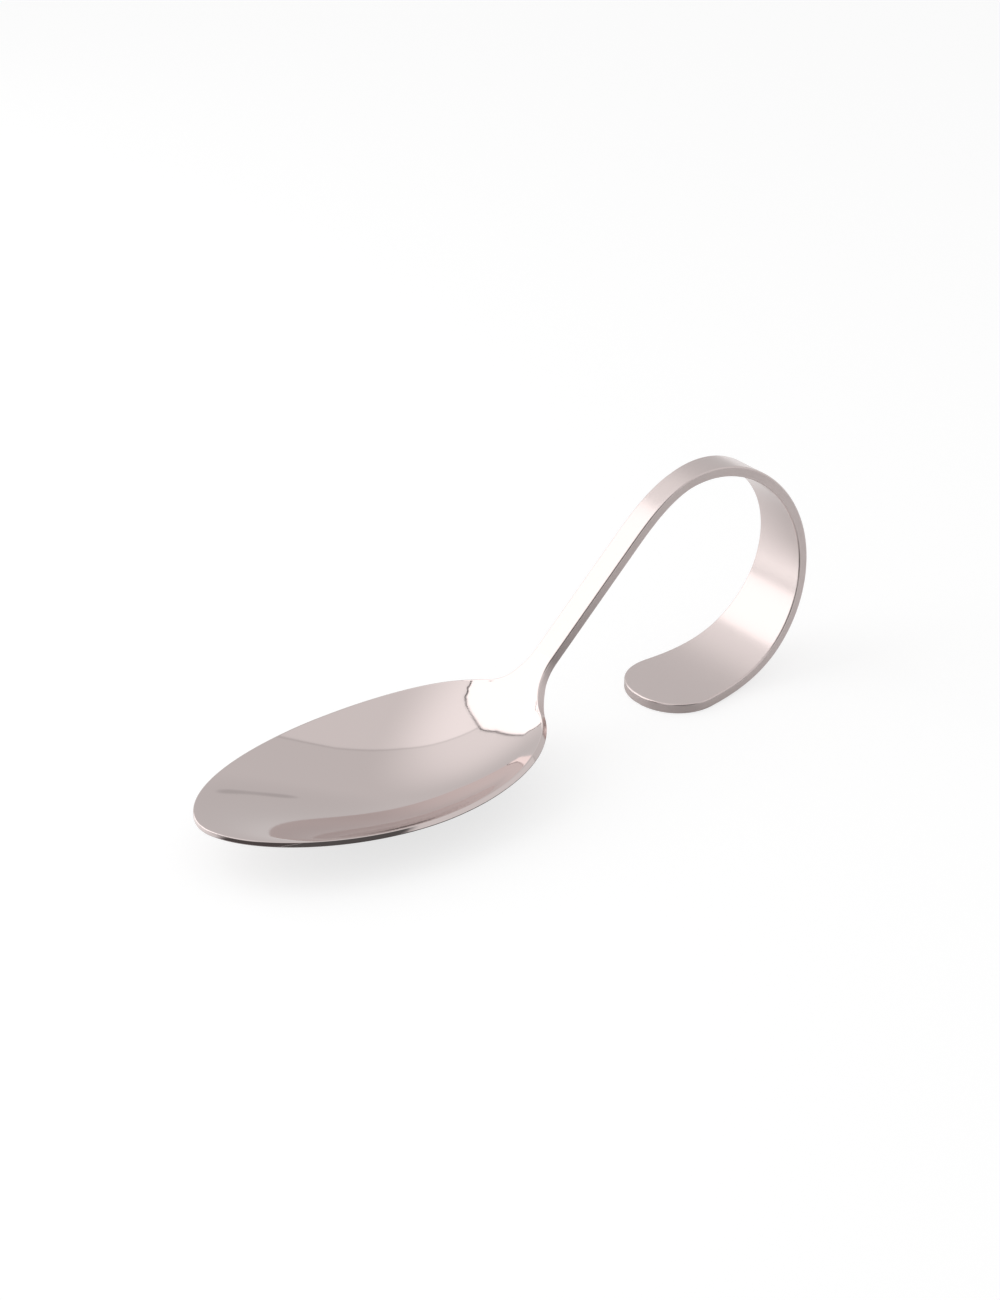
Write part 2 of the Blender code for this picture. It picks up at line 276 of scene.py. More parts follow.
class SpoonTent(bpy.types.PropertyGroup):
    """Walls of the light tent, as the steel shows them: a painted reflection, with painted light and
    shade, that matt things never see.
    """

    wall_level: share("Wall", 0.827, "Brightness of the plain wall, where 1 is white")
    sweep_axis: heading("Backdrop", (0.634, 0.754, 0.174), "Towards the middle of the backdrop")
    sweep_edge: angle("Backdrop edge", 61.3, "From that middle to the backdrop's edge")
    sweep_level: share("Backdrop level", 0.86, "Brightness of the backdrop, next to the wall")
    seam_width: angle("Seam width", 0.5, "Half the width of the seam along the backdrop's edge")
    seam_level: share("Seam level", 0.80, "Brightness of that seam, next to the wall")
    front_axis: heading("Open front", (-0.311, -0.904, 0.292), "Towards the middle of the open front")
    front_edge: angle("Front edge", 30.5, "From that middle to the edge of the opening")
    front_fade: angle("Front fade", 3.0, "Half the width over which the edge fades")
    front_level: share("Front level", 0.13, "Brightness of the dark room beyond, next to the wall")
    roof_axis: heading("Lit roof", (-0.406, 0.579, 0.707), "Towards the middle of the lit roof")
    roof_edge: angle("Roof edge", 36.0, "From that middle to the edge of the lit part")
    roof_fade: angle("Roof fade", 20.0, "Half the width over which the edge fades")
    roof_level: share("Roof level", 1.46, "Brightness of the lit roof, next to the wall")
    # Painted shade: a darker corner low in the backdrop, which only the steel shows.
    shaded_corner_axis: heading("Shaded corner", (0.769, 0.559, 0.309), "Towards the low corner of the backdrop")
    shaded_corner_edge: angle("Corner edge", 13.0, "From that middle to the corner's edge")
    shaded_corner_fade: angle("Corner fade", 9.0, "Half the width over which the edge fades")
    shaded_corner_level: share("Corner level", 0.93, "Brightness of the corner, next to the backdrop")
    # Painted reflection: a small darker spot in the backdrop, which only the steel shows.
    dark_spot_axis: heading("Dark spot", (0.735, 0.510, 0.446), "Towards a small dark spot in front of the backdrop")
    dark_spot_edge: angle("Stand edge", 1.3, "From the spot's middle to its edge")
    dark_spot_fade: angle("Stand fade", 0.8, "Half the width over which the edge fades")
    dark_spot_level: share("Stand level", 0.80, "Brightness of the spot, next to the backdrop")


def turning(turn, start, end):
    """A stretch that turns by an angle while its curvature changes evenly from start to end."""
    return (2.0 * turn / (start + end), start, end)


def smooth(t):
    """Ease from 0 to 1, and stay there on both sides."""
    t = np.clip(t, 0.0, 1.0)
    return t * t * (3.0 - 2.0 * t)


def unit(vectors):
    """Vectors of length 1."""
    return vectors / np.linalg.norm(vectors, axis=1)[:, None]


def close_at_start(even):
    """Draw even steps from 0 to 1 together at the start."""
    return even ** 2 * (1.0 - even) + even * even


class Blank:
    """The bent blank: where a place on the flat blank lies in the finished spoon."""

    def __init__(self, shape):
        self.shape = shape
        self.dish_end = shape.bowl_front + shape.bowl_rear + shape.dish_tail
        self.shank_length = 0.0
        self.walk()
        lift = self.bowl_bottom() - self.foot_bottom()
        self.shank_length = lift / math.sin(shape.shank_angle)
        self.walk()
        self.z -= self.bowl_bottom()
        self.fillet_start, self.fillet_end = self.shoulder()
        self.outline = self.outline_points()
        faces = np.array([-0.5, 0.5]) * shape.bowl_sheet
        tip = self.point(np.full(2, shape.tip_trim), np.zeros(2), faces)
        self.x += CAD_BOX[0][0] - tip[:, 0].min()

    def stretches(self):
        """The edge line as stretches of (length, curvature at its start, curvature at its end)."""
        s = self.shape
        rim = (s.bowl_front + s.bowl_rear - s.neck_lead, 0.0, 1.0 / s.rim_root_radius)
        neck_rest = s.shank_angle + s.tip_dip - rim[0] * rim[2] / 2.0 - s.neck_entry
        loop_turn = s.crest_turn + s.back_turn + s.heel_turn + s.runout_turn
        flattening = s.shank_angle + math.pi - loop_turn
        crest, back = -1.0 / s.crest_radius, -1.0 / s.back_radius
        heel, runout = -1.0 / s.heel_radius, -1.0 / s.runout_radius
        return {
            "rim": rim,
            "neck_in": turning(s.neck_entry, rim[2], 1.0 / s.neck_radius),
            "neck_out": turning(neck_rest, 1.0 / s.neck_radius, 0.0),
            "shank": (self.shank_length, 0.0, 0.0),
            "crest": turning(-s.crest_turn, 0.0, crest),
            "back": turning(-s.back_turn, crest, back),
            "heel": turning(-s.heel_turn, back, heel),
            "runout": turning(-s.runout_turn, heel, runout),
            "flattening": turning(-flattening, runout, 0.0),
            "flat": (s.foot_flat, 0.0, 0.0),
        }

    def walk(self):
        """Walk the edge line from the tip: its heading and its place in the side view."""
        parts = self.stretches()
        self.ends = dict(zip(parts, np.cumsum([part[0] for part in parts.values()])))
        self.length = self.ends["flat"]
        self.along = np.arange(0.0, self.length + LINE_STEP, LINE_STEP)
        self.heading = np.full_like(self.along, -self.shape.tip_dip)
        start = 0.0
        for run, bend_in, bend_out in parts.values():
            done = np.clip(self.along - start, 0.0, run)
            if run > 0.0:
                self.heading += bend_in * done + (bend_out - bend_in) * done ** 2 / (2.0 * run)
            start += run
        places = []
        for pace in (np.cos(self.heading), np.sin(self.heading)):
            steps = (pace[1:] + pace[:-1]) / 2.0 * LINE_STEP
            places.append(np.concatenate(([0.0], np.cumsum(steps))))
        self.x, self.z = places

    def bowl_bottom(self):
        """Height of the lowest place under the bowl."""
        inside = self.along < self.dish_end
        depth = self.dish_depth(self.along) + self.sheet(self.along) / 2.0
        return (self.z - depth * np.cos(self.heading))[inside].min()

    def foot_bottom(self):
        """Height of the underside of the foot."""
        return self.z[-1] - self.shape.handle_sheet / 2.0

    def bowl_half_width(self, along):
        """Egg-shaped outline of the bowl, before the shoulders are filleted."""
        s = self.shape
        front = np.clip((s.bowl_front - along) / s.bowl_front, 0.0, 1.0) ** s.front_fullness
        rear = np.clip((along - s.bowl_front) / s.bowl_rear, 0.0, 1.0) ** s.rear_fullness
        part = np.where(along < s.bowl_front, (1.0 - front) ** (1.0 / s.front_fullness),
                        (1.0 - rear) ** (1.0 / s.rear_fullness))
        return s.bowl_width / 2.0 * part

    def shoulder(self):
        """Where a fillet that touches the bowl's outline and the shank's side begins and ends."""
        s = self.shape
        rear = np.linspace(s.bowl_front, s.bowl_front + s.bowl_rear, REAR_PLACES)
        above = self.bowl_half_width(rear) - s.shank_width / 2.0 - s.shoulder_fillet
        low, high = s.bowl_front, s.bowl_front + s.bowl_rear + s.shoulder_fillet
        for _ in range(HALVINGS):
            middle = (low + high) / 2.0
            if np.hypot(rear - middle, above).min() < s.shoulder_fillet:
                low = middle
            else:
                high = middle
        return rear[np.hypot(rear - high, above).argmin()], high

    def half_width(self, along):
        """Half the blank's width at places along it."""
        s = self.shape
        side = s.shank_width / 2.0
        chord = np.clip(self.fillet_end - along, 0.0, s.shoulder_fillet)
        fillet = side + s.shoulder_fillet - np.sqrt(s.shoulder_fillet ** 2 - chord ** 2)
        crest = self.ends["crest"]
        widened = np.clip(along - crest, 0.0, None) / (self.length - crest)
        strip = side + (s.foot_width / 2.0 - side) * widened ** s.widening
        rounded = np.clip((along - self.length + s.foot_tip) / s.foot_tip, 0.0, 1.0)
        strip = strip * np.sqrt(1.0 - rounded ** 2)
        handle = np.where(along < self.fillet_end, fillet, strip)
        return np.where(along < self.fillet_start, self.bowl_half_width(along), handle)

    def sheet(self, along):
        """Thickness of the sheet at places along the blank."""
        s = self.shape
        thick = smooth((along - self.ends["neck_out"] + s.thickening) / s.thickening)
        return s.bowl_sheet + (s.handle_sheet - s.bowl_sheet) * thick

    def dish_depth(self, along):
        """Depth of the dish along its middle line."""
        s = self.shape
        run = np.clip(along / self.dish_end, 0.0, 1.0)
        deepest = s.dish_entry / (s.dish_entry + s.dish_runout)
        entry = (run / deepest) ** s.dish_entry
        return s.bowl_depth * entry * ((1.0 - run) / (1.0 - deepest)) ** s.dish_runout

    def point(self, along, across, offset):
        """Points of the bent blank, at an offset from the middle of the sheet."""
        half = self.half_width(along)
        depth = self.dish_depth(along)
        slope = -2.0 * depth * across / half ** 2
        steep = np.sqrt(1.0 + slope ** 2)
        height = offset / steep - depth * (1.0 - (across / half) ** 2)
        turn = np.interp(along, self.along, self.heading)
        x = np.interp(along, self.along, self.x) - height * np.sin(turn)
        z = np.interp(along, self.along, self.z) + height * np.cos(turn)
        return np.stack((x, across + offset * slope / steep, z), axis=-1)

    def face(self, along, across, side):
        """Points on the upper (1) or lower (-1) face of the blank."""
        return self.point(along, across, side * self.sheet(along) / 2.0)

    def outline_points(self):
        """Half of the flat blank's outline, from the middle of the tip to the middle of the foot."""
        s = self.shape
        start, end = s.tip_trim, self.length - s.tip_trim
        span = np.linspace(0.0, 1.0, OUTLINE_PLACES)
        close = TIP_REACH * span ** 3
        along = np.unique(np.concatenate((start + (end - start) * span, start + close, end - close)))
        side = np.column_stack((along, self.half_width(along)))
        return np.vstack(([start, 0.0], side, [end, 0.0]))

    def edge_gap(self, along, across):
        """Distance on the flat blank from each point of a row to the outline, and the way out to it."""
        near = np.flatnonzero(np.abs(self.outline[:, 0] - along) < EDGE_REACH)
        path = self.outline[near[0]:near[-1] + 1]
        leg = path[1:] - path[:-1]
        size = np.maximum((leg ** 2).sum(axis=1), SMALLEST_LEG)
        at = np.column_stack((np.full_like(across, along), np.abs(across)))
        from_start = at[:, None, :] - path[None, :-1, :]
        step = np.clip((from_start * leg).sum(axis=2) / size, 0.0, 1.0)
        gap = np.linalg.norm(from_start - step[:, :, None] * leg, axis=2)
        best = gap.argmin(axis=1)
        out = np.column_stack((-leg[best, 1], leg[best, 0])) / np.sqrt(size[best])[:, None]
        out[:, 1] *= np.where(across < 0.0, -1.0, 1.0)
        return gap.min(axis=1), out

    def across_row(self, half, radius, spans):
        """Places across one face: close together round both corners, wider apart between them."""
        bends = self.shape.corner
        radius = min(radius, half / CORNERS_ACROSS)
        turn = np.linspace(0.0, math.pi / 2.0, bends + 1)[:-1]
        side = half - radius * (1.0 - np.cos(turn))
        middle = (half - radius) * np.cos(np.linspace(0.0, math.pi, spans - 2 * bends + 1))
        return -np.concatenate((side, middle, -side[::-1]))

    def row(self, along, spans):
        """One ring round the sheet: points, normals and places on the flat blank."""
        half = float(self.half_width(along))
        sheet = float(self.sheet(along))
        s = self.shape
        thick = (sheet - s.bowl_sheet) / (s.handle_sheet - s.bowl_sheet)
        radius = s.rim_round + (s.handle_round - s.rim_round) * thick
        across = self.across_row(half, radius, spans)
        place = np.full_like(across, along)
        gap, out = self.edge_gap(along, across)
        lean = np.clip((radius - gap) / radius, 0.0, 1.0)
        upright = np.sqrt(1.0 - lean ** 2)
        offset = sheet / 2.0 - radius * (1.0 - upright)
        ease = np.clip(1.0 - gap / s.rim_ease, 0.0, 1.0) * smooth(-across / s.rim_side)
        fall = (math.tan(s.rim_fall) * ease * (1.0 - thick))[:, None]
        ahead, behind = place + PROBE_ALONG, place - PROBE_ALONG
        left, right = across + PROBE, across - PROBE
        points, normals = [], []
        for side in (1.0, -1.0):
            lengthwise = unit(self.face(ahead, across, side) - self.face(behind, across, side))
            crosswise = unit(self.face(place, left, side) - self.face(place, right, side))
            normal = unit(side * np.cross(lengthwise, crosswise))
            outward = out[:, :1] * lengthwise + out[:, 1:] * crosswise
            outward = unit(outward - (outward * normal).sum(axis=1)[:, None] * normal)
            if side > 0.0:
                # Only the shading leans out by the near rim. The points stay on the blank.
                normal, outward = unit(normal + outward * fall), unit(outward - normal * fall)
            points.append(self.point(place, across, side * offset))
            normals.append(normal * upright[:, None] + outward * lean[:, None])
        flat = np.column_stack((place, across))
        ring = np.vstack((points[0], points[1][::-1]))
        return ring, np.vstack((normals[0], normals[1][::-1])), np.vstack((flat, flat[::-1]))

    def places(self, name):
        """Places along the blank where the rows of a piece lie."""
        s = self.shape
        neck_end = max(self.fillet_end, self.ends["neck_out"], self.dish_end)
        loop_start = max(self.ends["shank"], neck_end)
        foot_start = self.ends["heel"]
        bounds = {
            "bowl": (s.tip_trim, self.fillet_start, s.rows_bowl),
            "neck": (self.fillet_start, neck_end, s.rows_neck),
            "shank": (neck_end, loop_start, s.rows_shank),
            "finger_loop": (loop_start, foot_start, s.rows_loop),
            "foot": (foot_start, self.length - s.tip_trim, s.rows_foot),
        }
        start, end, rows = bounds[name]
        even = np.linspace(0.0, 1.0, rows + 1)
        if name == "bowl":
            even = close_at_start(even)
        if name == "foot":
            even = 1.0 - close_at_start(1.0 - even)
        return start + (end - start) * even


def build_piece(context, name, finishes):
    """Make one length of the blank as a closed mesh and put it in the place of its node.

    The first finish is for the two faces, and the second for the cut edges.
    """
    spoon = context.scene.spoon_shape
    blank = Blank(spoon)
    spans = spoon.across + 2 * spoon.corner
    rows = [blank.row(along, spans) for along in blank.places(name)]
    ring = len(rows[0][0])
    points = np.vstack([row[0] for row in rows])
    normals = np.vstack([row[1] for row in rows])
    flat = np.vstack([row[2] for row in rows])
    mesh = bpy.data.meshes.new(name)
    shape = bmesh.new()
    verts = [shape.verts.new(point) for point in points]
    uv = shape.loops.layers.uv.new("flat_blank")
    edges = (spans, ring - 1)
    for i in range(len(rows) - 1):
        for j in range(ring):
            near, far = i * ring, (i + 1) * ring
            k = (j + 1) % ring
            corners = (near + j, far + j, far + k, near + k)
            face = shape.faces.new([verts[c] for c in corners])
            face.smooth = True
            face.material_index = 1 if j in edges else 0
            for loop, c in zip(face.loops, corners):
                loop[uv].uv = flat[c]
    last = (len(rows) - 1) * ring
    for corners in (range(ring), range(last + ring - 1, last - 1, -1)):
        # The cut ends have points of their own, so that they stay flat beside the smooth faces.
        cap = shape.faces.new([shape.verts.new(points[c]) for c in corners])
        cap.material_index = 1
    shape.to_mesh(mesh)
    shape.free()
    ends = np.zeros((2 * ring, 3))  # zero keeps a point's own normal
    mesh.normals_split_custom_set_from_vertices(np.vstack((normals, ends)).tolist())
    for finish in finishes:
        mesh.materials.append(finish)
    piece = bpy.data.objects.new(name + "_steel", mesh)
    context.scene.collection.objects.link(piece)
    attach(piece, "root")
    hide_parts(name)


def node(tree, kind, place, **values):
    """Add a node, set its options, and set its inputs by name."""
    made = tree.nodes.new(kind)
    made.location = place
    for key, value in values.items():
        if key in made.inputs:
            made.inputs[key].default_value = value
        else:
            setattr(made, key, value)
    return made


def rub_group():
    """Fine lines that polishing leaves along the blank, and the soft marks of handling."""
    name = "Rub marks"
    if name in bpy.data.node_groups:
        return bpy.data.node_groups[name]
    tree = bpy.data.node_groups.new(name, "ShaderNodeTree")
    face = tree.interface
    face.new_socket("Lines per metre", in_out="INPUT", socket_type="NodeSocketFloat")
    face.new_socket("Stretch", in_out="INPUT", socket_type="NodeSocketFloat")
    face.new_socket("Roughness", in_out="INPUT", socket_type="NodeSocketFloat")
    face.new_socket("Spread", in_out="INPUT", socket_type="NodeSocketFloat")
    face.new_socket("Roughness", in_out="OUTPUT", socket_type="NodeSocketFloat")
    face.new_socket("Lines", in_out="OUTPUT", socket_type="NodeSocketFloat")
    into = node(tree, "NodeGroupInput", (-900, 0))
    out = node(tree, "NodeGroupOutput", (700, 0))
    place = node(tree, "ShaderNodeUVMap", (-900, 300), uv_map="flat_blank")
    squeeze = node(tree, "ShaderNodeCombineXYZ", (-700, 100), Z=1.0)
    across = node(tree, "ShaderNodeMath", (-700, -60), operation="MULTIPLY")
    stretch = node(tree, "ShaderNodeVectorMath", (-500, 200), operation="MULTIPLY")
    lines = node(tree, "ShaderNodeTexNoise", (-300, 200), Scale=1.0, Detail=LINE_DETAIL)
    lines.inputs["Roughness"].default_value = LINE_ROUGHNESS
    marks = node(tree, "ShaderNodeTexNoise", (-300, -100), Scale=MARKS_PER_METRE, Detail=MARK_DETAIL)
    marks.inputs["Roughness"].default_value = MARK_ROUGHNESS
    mixed = node(tree, "ShaderNodeMath", (-100, 50), operation="MULTIPLY")
    centred = node(tree, "ShaderNodeMath", (100, 50), operation="SUBTRACT")
    spread = node(tree, "ShaderNodeMath", (300, 50), operation="MULTIPLY_ADD")
    centred.inputs[1].default_value = NOISE_MIDDLE
    link = tree.links.new
    link(into.outputs["Lines per metre"], across.inputs[0])
    link(into.outputs["Stretch"], across.inputs[1])
    link(across.outputs[0], squeeze.inputs["X"])
    link(into.outputs["Lines per metre"], squeeze.inputs["Y"])
    link(place.outputs["UV"], stretch.inputs[0])
    link(squeeze.outputs["Vector"], stretch.inputs[1])
    link(stretch.outputs["Vector"], lines.inputs["Vector"])
    link(place.outputs["UV"], marks.inputs["Vector"])
    link(lines.outputs["Fac"], mixed.inputs[0])
    link(marks.outputs["Fac"], mixed.inputs[1])
    link(mixed.outputs[0], centred.inputs[0])
    link(centred.outputs[0], spread.inputs[0])
    link(into.outputs["Spread"], spread.inputs[1])
    link(into.outputs["Roughness"], spread.inputs[2])
    link(spread.outputs[0], out.inputs["Roughness"])
    link(lines.outputs["Fac"], out.inputs["Lines"])
    return tree


def steel(context, kind):
    """Steel in one of its finishes, whose polish leaves finer or coarser lines."""
    name = FINISH_NAMES[kind]
    if name in bpy.data.materials:
        return bpy.data.materials[name]
    finish = context.scene.spoon_finish
    material = bpy.data.materials.new(name)
    material.use_nodes = True
    tree = material.node_tree
    shader = tree.nodes["Principled BSDF"]
    shader.inputs["Base Color"].default_value = tuple(finish.steel)
    shader.inputs["Metallic"].default_value = 1.0
    rub = node(tree, "ShaderNodeGroup", (-700, 0), node_tree=rub_group())
    rub.inputs["Lines per metre"].default_value = getattr(finish, kind + "_lines")
    rub.inputs["Stretch"].default_value = getattr(finish, kind + "_stretch")
    rub.inputs["Roughness"].default_value = getattr(finish, kind + "_roughness")
    rub.inputs["Spread"].default_value = getattr(finish, kind + "_spread")
    bump = node(tree, "ShaderNodeBump", (-300, -250), Strength=1.0)
    bump.inputs["Distance"].default_value = getattr(finish, kind + "_relief")
    tree.links.new(rub.outputs["Roughness"], shader.inputs["Roughness"])
    tree.links.new(rub.outputs["Lines"], bump.inputs["Height"])
    tree.links.new(bump.outputs["Normal"], shader.inputs["Normal"])
    return material


class SPOON_OT_bowl(bpy.types.Operator):
    """Make the dished bowl"""

    bl_idname = "spoon.bowl"
    bl_label = "Bowl"

    def execute(self, context):
        finishes = (steel(context, "mirror"), steel(context, "mirror"))
        build_piece(context, "bowl", finishes)
        return {"FINISHED"}


class SPOON_OT_neck(bpy.types.Operator):
    """Make the neck that rises out of the bowl"""

    bl_idname = "spoon.neck"
    bl_label = "Neck"

    def execute(self, context):
        finishes = (steel(context, "mirror"), steel(context, "ground"))
        build_piece(context, "neck", finishes)
        return {"FINISHED"}


class SPOON_OT_handle(bpy.types.Operator):
    """Make the shank, the finger loop and the foot"""

    bl_idname = "spoon.handle"
    bl_label = "Handle"

    def execute(self, context):
        finishes = (steel(context, "satin"), steel(context, "ground"))
        for name in ("shank", "finger_loop", "foot"):
            build_piece(context, name, finishes)
        return {"FINISHED"}


class SPOON_OT_stage(bpy.types.Operator):
    """Make the floor, the softbox, the light tent and the camera"""

    bl_idname = "spoon.stage"
    bl_label = "Stage"

    def execute(self, context):
        make_floor(context)
        make_softbox(context)
        make_tent(context)
        make_camera(context)
        context.scene.view_settings.view_transform = "Standard"
        return {"FINISHED"}


def by_ray(tree, matt, in_steel, in_view, place):
    """Pick a shader by what sees it: matt things, the steel, or the camera."""
    x, y = place
    path = node(tree, "ShaderNodeLightPath", (x - 500, y + 400))
    shiny = node(tree, "ShaderNodeMath", (x - 250, y + 400), operation="MAXIMUM")
    first = node(tree, "ShaderNodeMixShader", (x, y))
    second = node(tree, "ShaderNodeMixShader", (x + 200, y))
    tree.links.new(path.outputs["Is Glossy Ray"], shiny.inputs[0])
    tree.links.new(path.outputs["Is Transmission Ray"], shiny.inputs[1])
    tree.links.new(shiny.outputs[0], first.inputs["Fac"])
    tree.links.new(matt, first.inputs[1])
    tree.links.new(in_steel, first.inputs[2])
    tree.links.new(path.outputs["Is Camera Ray"], second.inputs["Fac"])
    tree.links.new(first.outputs[0], second.inputs[1])
    tree.links.new(in_view, second.inputs[2])
    return second.outputs[0]


def lit_floor(tree, color, glow, place):
    """Floor of which one part takes shadows and the other part stays white."""
    x, y = place
    paint = node(tree, "ShaderNodeBsdfDiffuse", (x, y), Color=tuple(color))
    white = node(tree, "ShaderNodeEmission", (x, y - 150), Color=WHITE, Strength=glow)
    both = node(tree, "ShaderNodeAddShader", (x + 250, y))
    tree.links.new(paint.outputs[0], both.inputs[0])
    tree.links.new(white.outputs[0], both.inputs[1])
    return both.outputs[0]


def glossy_sheet(tree, stage, place):
    """The floor in the steel: a glossy sheet, with a painted pool of light under the softbox and painted
    shade by the bowl and beyond its tip.
    """
    x, y = place
    sheet = node(tree, "ShaderNodeBsdfPrincipled", (x, y))
    sheet.inputs["Base Color"].default_value = tuple(stage.mirrored)
    sheet.inputs["Roughness"].default_value = stage.sheet_gloss
    sheet.inputs["Emission Color"].default_value = WHITE
    # Painted shade: dark patches painted into the floor as the steel sees it.
    painted_shade = node(tree, "ShaderNodeBsdfDiffuse", (x, y - 150), Color=tuple(stage.painted_shade))
    here = node(tree, "ShaderNodeTexCoord", (x - 600, y)).outputs["Object"]
    dark = node(tree, "ShaderNodeMath", (x, y + 200), operation="MAXIMUM")
    painted_shades = (
        (stage.painted_shade_place, stage.painted_shade_edge, stage.painted_shade_fade),
        (stage.tip_painted_shade_place, stage.tip_painted_shade_edge, stage.tip_painted_shade_fade),
    )
    for i, (middle, edge, fade) in enumerate(painted_shades):
        away = node(tree, "ShaderNodeVectorMath", (x - 400, y + 200 * i), operation="DISTANCE")
        away.inputs[1].default_value = (*middle, 0.0)
        in_shade = node(tree, "ShaderNodeMapRange", (x - 200, y + 200 * i))
        in_shade.interpolation_type = "SMOOTHSTEP"
        in_shade.inputs["From Min"].default_value = edge + fade
        in_shade.inputs["From Max"].default_value = edge - fade
        tree.links.new(here, away.inputs[0])
        tree.links.new(away.outputs["Value"], in_shade.inputs["Value"])
        tree.links.new(in_shade.outputs["Result"], dark.inputs[i])
    # Painted light: the sheet's glow grows towards the softbox, a painted pool of its light.
    nearer = node(tree, "ShaderNodeVectorMath", (x - 400, y - 200), operation="DOT_PRODUCT")
    nearer.inputs[1].default_value = tuple(stage.painted_pool_axis)
    glow = node(tree, "ShaderNodeMapRange", (x - 200, y - 200), interpolation_type="SMOOTHSTEP")
    glow.inputs["From Min"].default_value = stage.painted_pool_start
    glow.inputs["From Max"].default_value = stage.painted_pool_end
    glow.inputs["To Min"].default_value = stage.mirrored_glow
    glow.inputs["To Max"].default_value = stage.mirrored_glow + stage.painted_pool
    mixed = node(tree, "ShaderNodeMixShader", (x + 250, y))
    tree.links.new(here, nearer.inputs[0])
    tree.links.new(nearer.outputs["Value"], glow.inputs["Value"])
    tree.links.new(glow.outputs["Result"], sheet.inputs["Emission Strength"])
    tree.links.new(dark.outputs[0], mixed.inputs["Fac"])
    tree.links.new(sheet.outputs[0], mixed.inputs[1])
    tree.links.new(painted_shade.outputs[0], mixed.inputs[2])
    return mixed.outputs[0]


def make_floor(context):
    """A wide pale floor, with one paint for the light, one for the steel that holds painted light and
    shade, and one for the camera.
    """
    stage = context.scene.spoon_stage
    mesh = bpy.data.meshes.new("floor")
    shape = bmesh.new()
    bmesh.ops.create_circle(shape, cap_ends=True, segments=FLOOR_SIDES, radius=stage.floor_radius)
    shape.to_mesh(mesh)
    shape.free()
    floor = bpy.data.objects.new("floor", mesh)
    context.scene.collection.objects.link(floor)
    material = bpy.data.materials.new("Pale floor")
    material.use_nodes = True
    tree = material.node_tree
    tree.nodes.clear()
    matt = node(tree, "ShaderNodeBsdfDiffuse", (-200, 200), Color=tuple(stage.floor))
    in_steel = glossy_sheet(tree, stage, (-450, 0))
    in_view = lit_floor(tree, stage.shadow, stage.floor_glow, (-450, -300))
    surface = by_ray(tree, matt.outputs[0], in_steel, in_view, (250, 100))
    out = node(tree, "ShaderNodeOutputMaterial", (650, 100))
    tree.links.new(surface, out.inputs["Surface"])
    mesh.materials.append(material)


def softbox_rim(stage, corners):
    """Outer corners of the softbox's dark frame, which widens towards the top."""
    middle = sum(corners, Vector((0.0, 0.0))) / len(corners)
    low, top = stage.softbox_lean[1], stage.softbox_crown[1]
    outer = []
    for place in corners:
        high = float(smooth((place.y - low) / (top - low)))
        width = stage.softbox_frame + (stage.softbox_hood - stage.softbox_frame) * high
        outer.append(place + (place - middle).normalized() * width)
    return outer


def make_softbox(context):
    """A bright panel behind the spoon, with a bent outline and a dark frame round it."""
    stage = context.scene.spoon_stage
    out = Vector(stage.softbox_out).normalized()
    right = Vector(stage.softbox_right)
    right = (right - right.dot(out) * out).normalized()
    up = (-out).cross(right)
    foot = out * stage.softbox_gap
    corners = [Vector(getattr(stage, "softbox_" + name)) for name in SOFTBOX_CORNERS]
    mesh = bpy.data.meshes.new("softbox")
    shape = bmesh.new()
    inside = [shape.verts.new(foot + right * c.x + up * c.y) for c in corners]
    outside = [shape.verts.new(foot + right * c.x + up * c.y) for c in softbox_rim(stage, corners)]
    shape.faces.new(inside)
    for i in range(len(corners)):
        j = (i + 1) % len(corners)
        face = shape.faces.new((inside[j], inside[i], outside[i], outside[j]))
        face.material_index = 1
    shape.to_mesh(mesh)
    shape.free()
    mesh.materials.append(softbox_cloth(stage.softbox_level))
    mesh.materials.append(black_cloth())
    softbox = bpy.data.objects.new("softbox", mesh)
    softbox.visible_camera = False
    context.scene.collection.objects.link(softbox)


def softbox_cloth(level):
    """White cloth lit from behind: it shines on one side."""
    material = bpy.data.materials.new("Lit cloth")
    material.use_nodes = True
    tree = material.node_tree
    tree.nodes.clear()
    light = node(tree, "ShaderNodeEmission", (-200, 100), Color=WHITE, Strength=level)
    back = node(tree, "ShaderNodeBsdfDiffuse", (-200, -100), Color=BLACK)
    side = node(tree, "ShaderNodeNewGeometry", (-200, 350))
    mixed = node(tree, "ShaderNodeMixShader", (50, 100))
    out = node(tree, "ShaderNodeOutputMaterial", (250, 100))
    tree.links.new(side.outputs["Backfacing"], mixed.inputs["Fac"])
    tree.links.new(light.outputs[0], mixed.inputs[1])
    tree.links.new(back.outputs[0], mixed.inputs[2])
    tree.links.new(mixed.outputs[0], out.inputs["Surface"])
    return material


def black_cloth():
    """Dull black cloth of the softbox's frame."""
    material = bpy.data.materials.new("Black cloth")
    material.use_nodes = True
    shader = material.node_tree.nodes["Principled BSDF"]
    shader.inputs["Base Color"].default_value = BLACK
    shader.inputs["Roughness"].default_value = CLOTH_ROUGHNESS
    return material


def zone(tree, ray, axis, edge, soft, place):
    """Mask of the rays that lie inside a round zone of the tent: 1 inside and 0 outside."""
    x, y = place
    dot = node(tree, "ShaderNodeVectorMath", (x, y), operation="DOT_PRODUCT")
    dot.inputs[1].default_value = Vector(axis).normalized()
    fade = node(tree, "ShaderNodeMapRange", (x + 200, y), interpolation_type="SMOOTHSTEP")
    fade.inputs["From Min"].default_value = math.cos(edge + soft)
    fade.inputs["From Max"].default_value = math.cos(edge - soft)
    tree.links.new(ray, dot.inputs[0])
    tree.links.new(dot.outputs["Value"], fade.inputs["Value"])
    return fade.outputs["Result"]


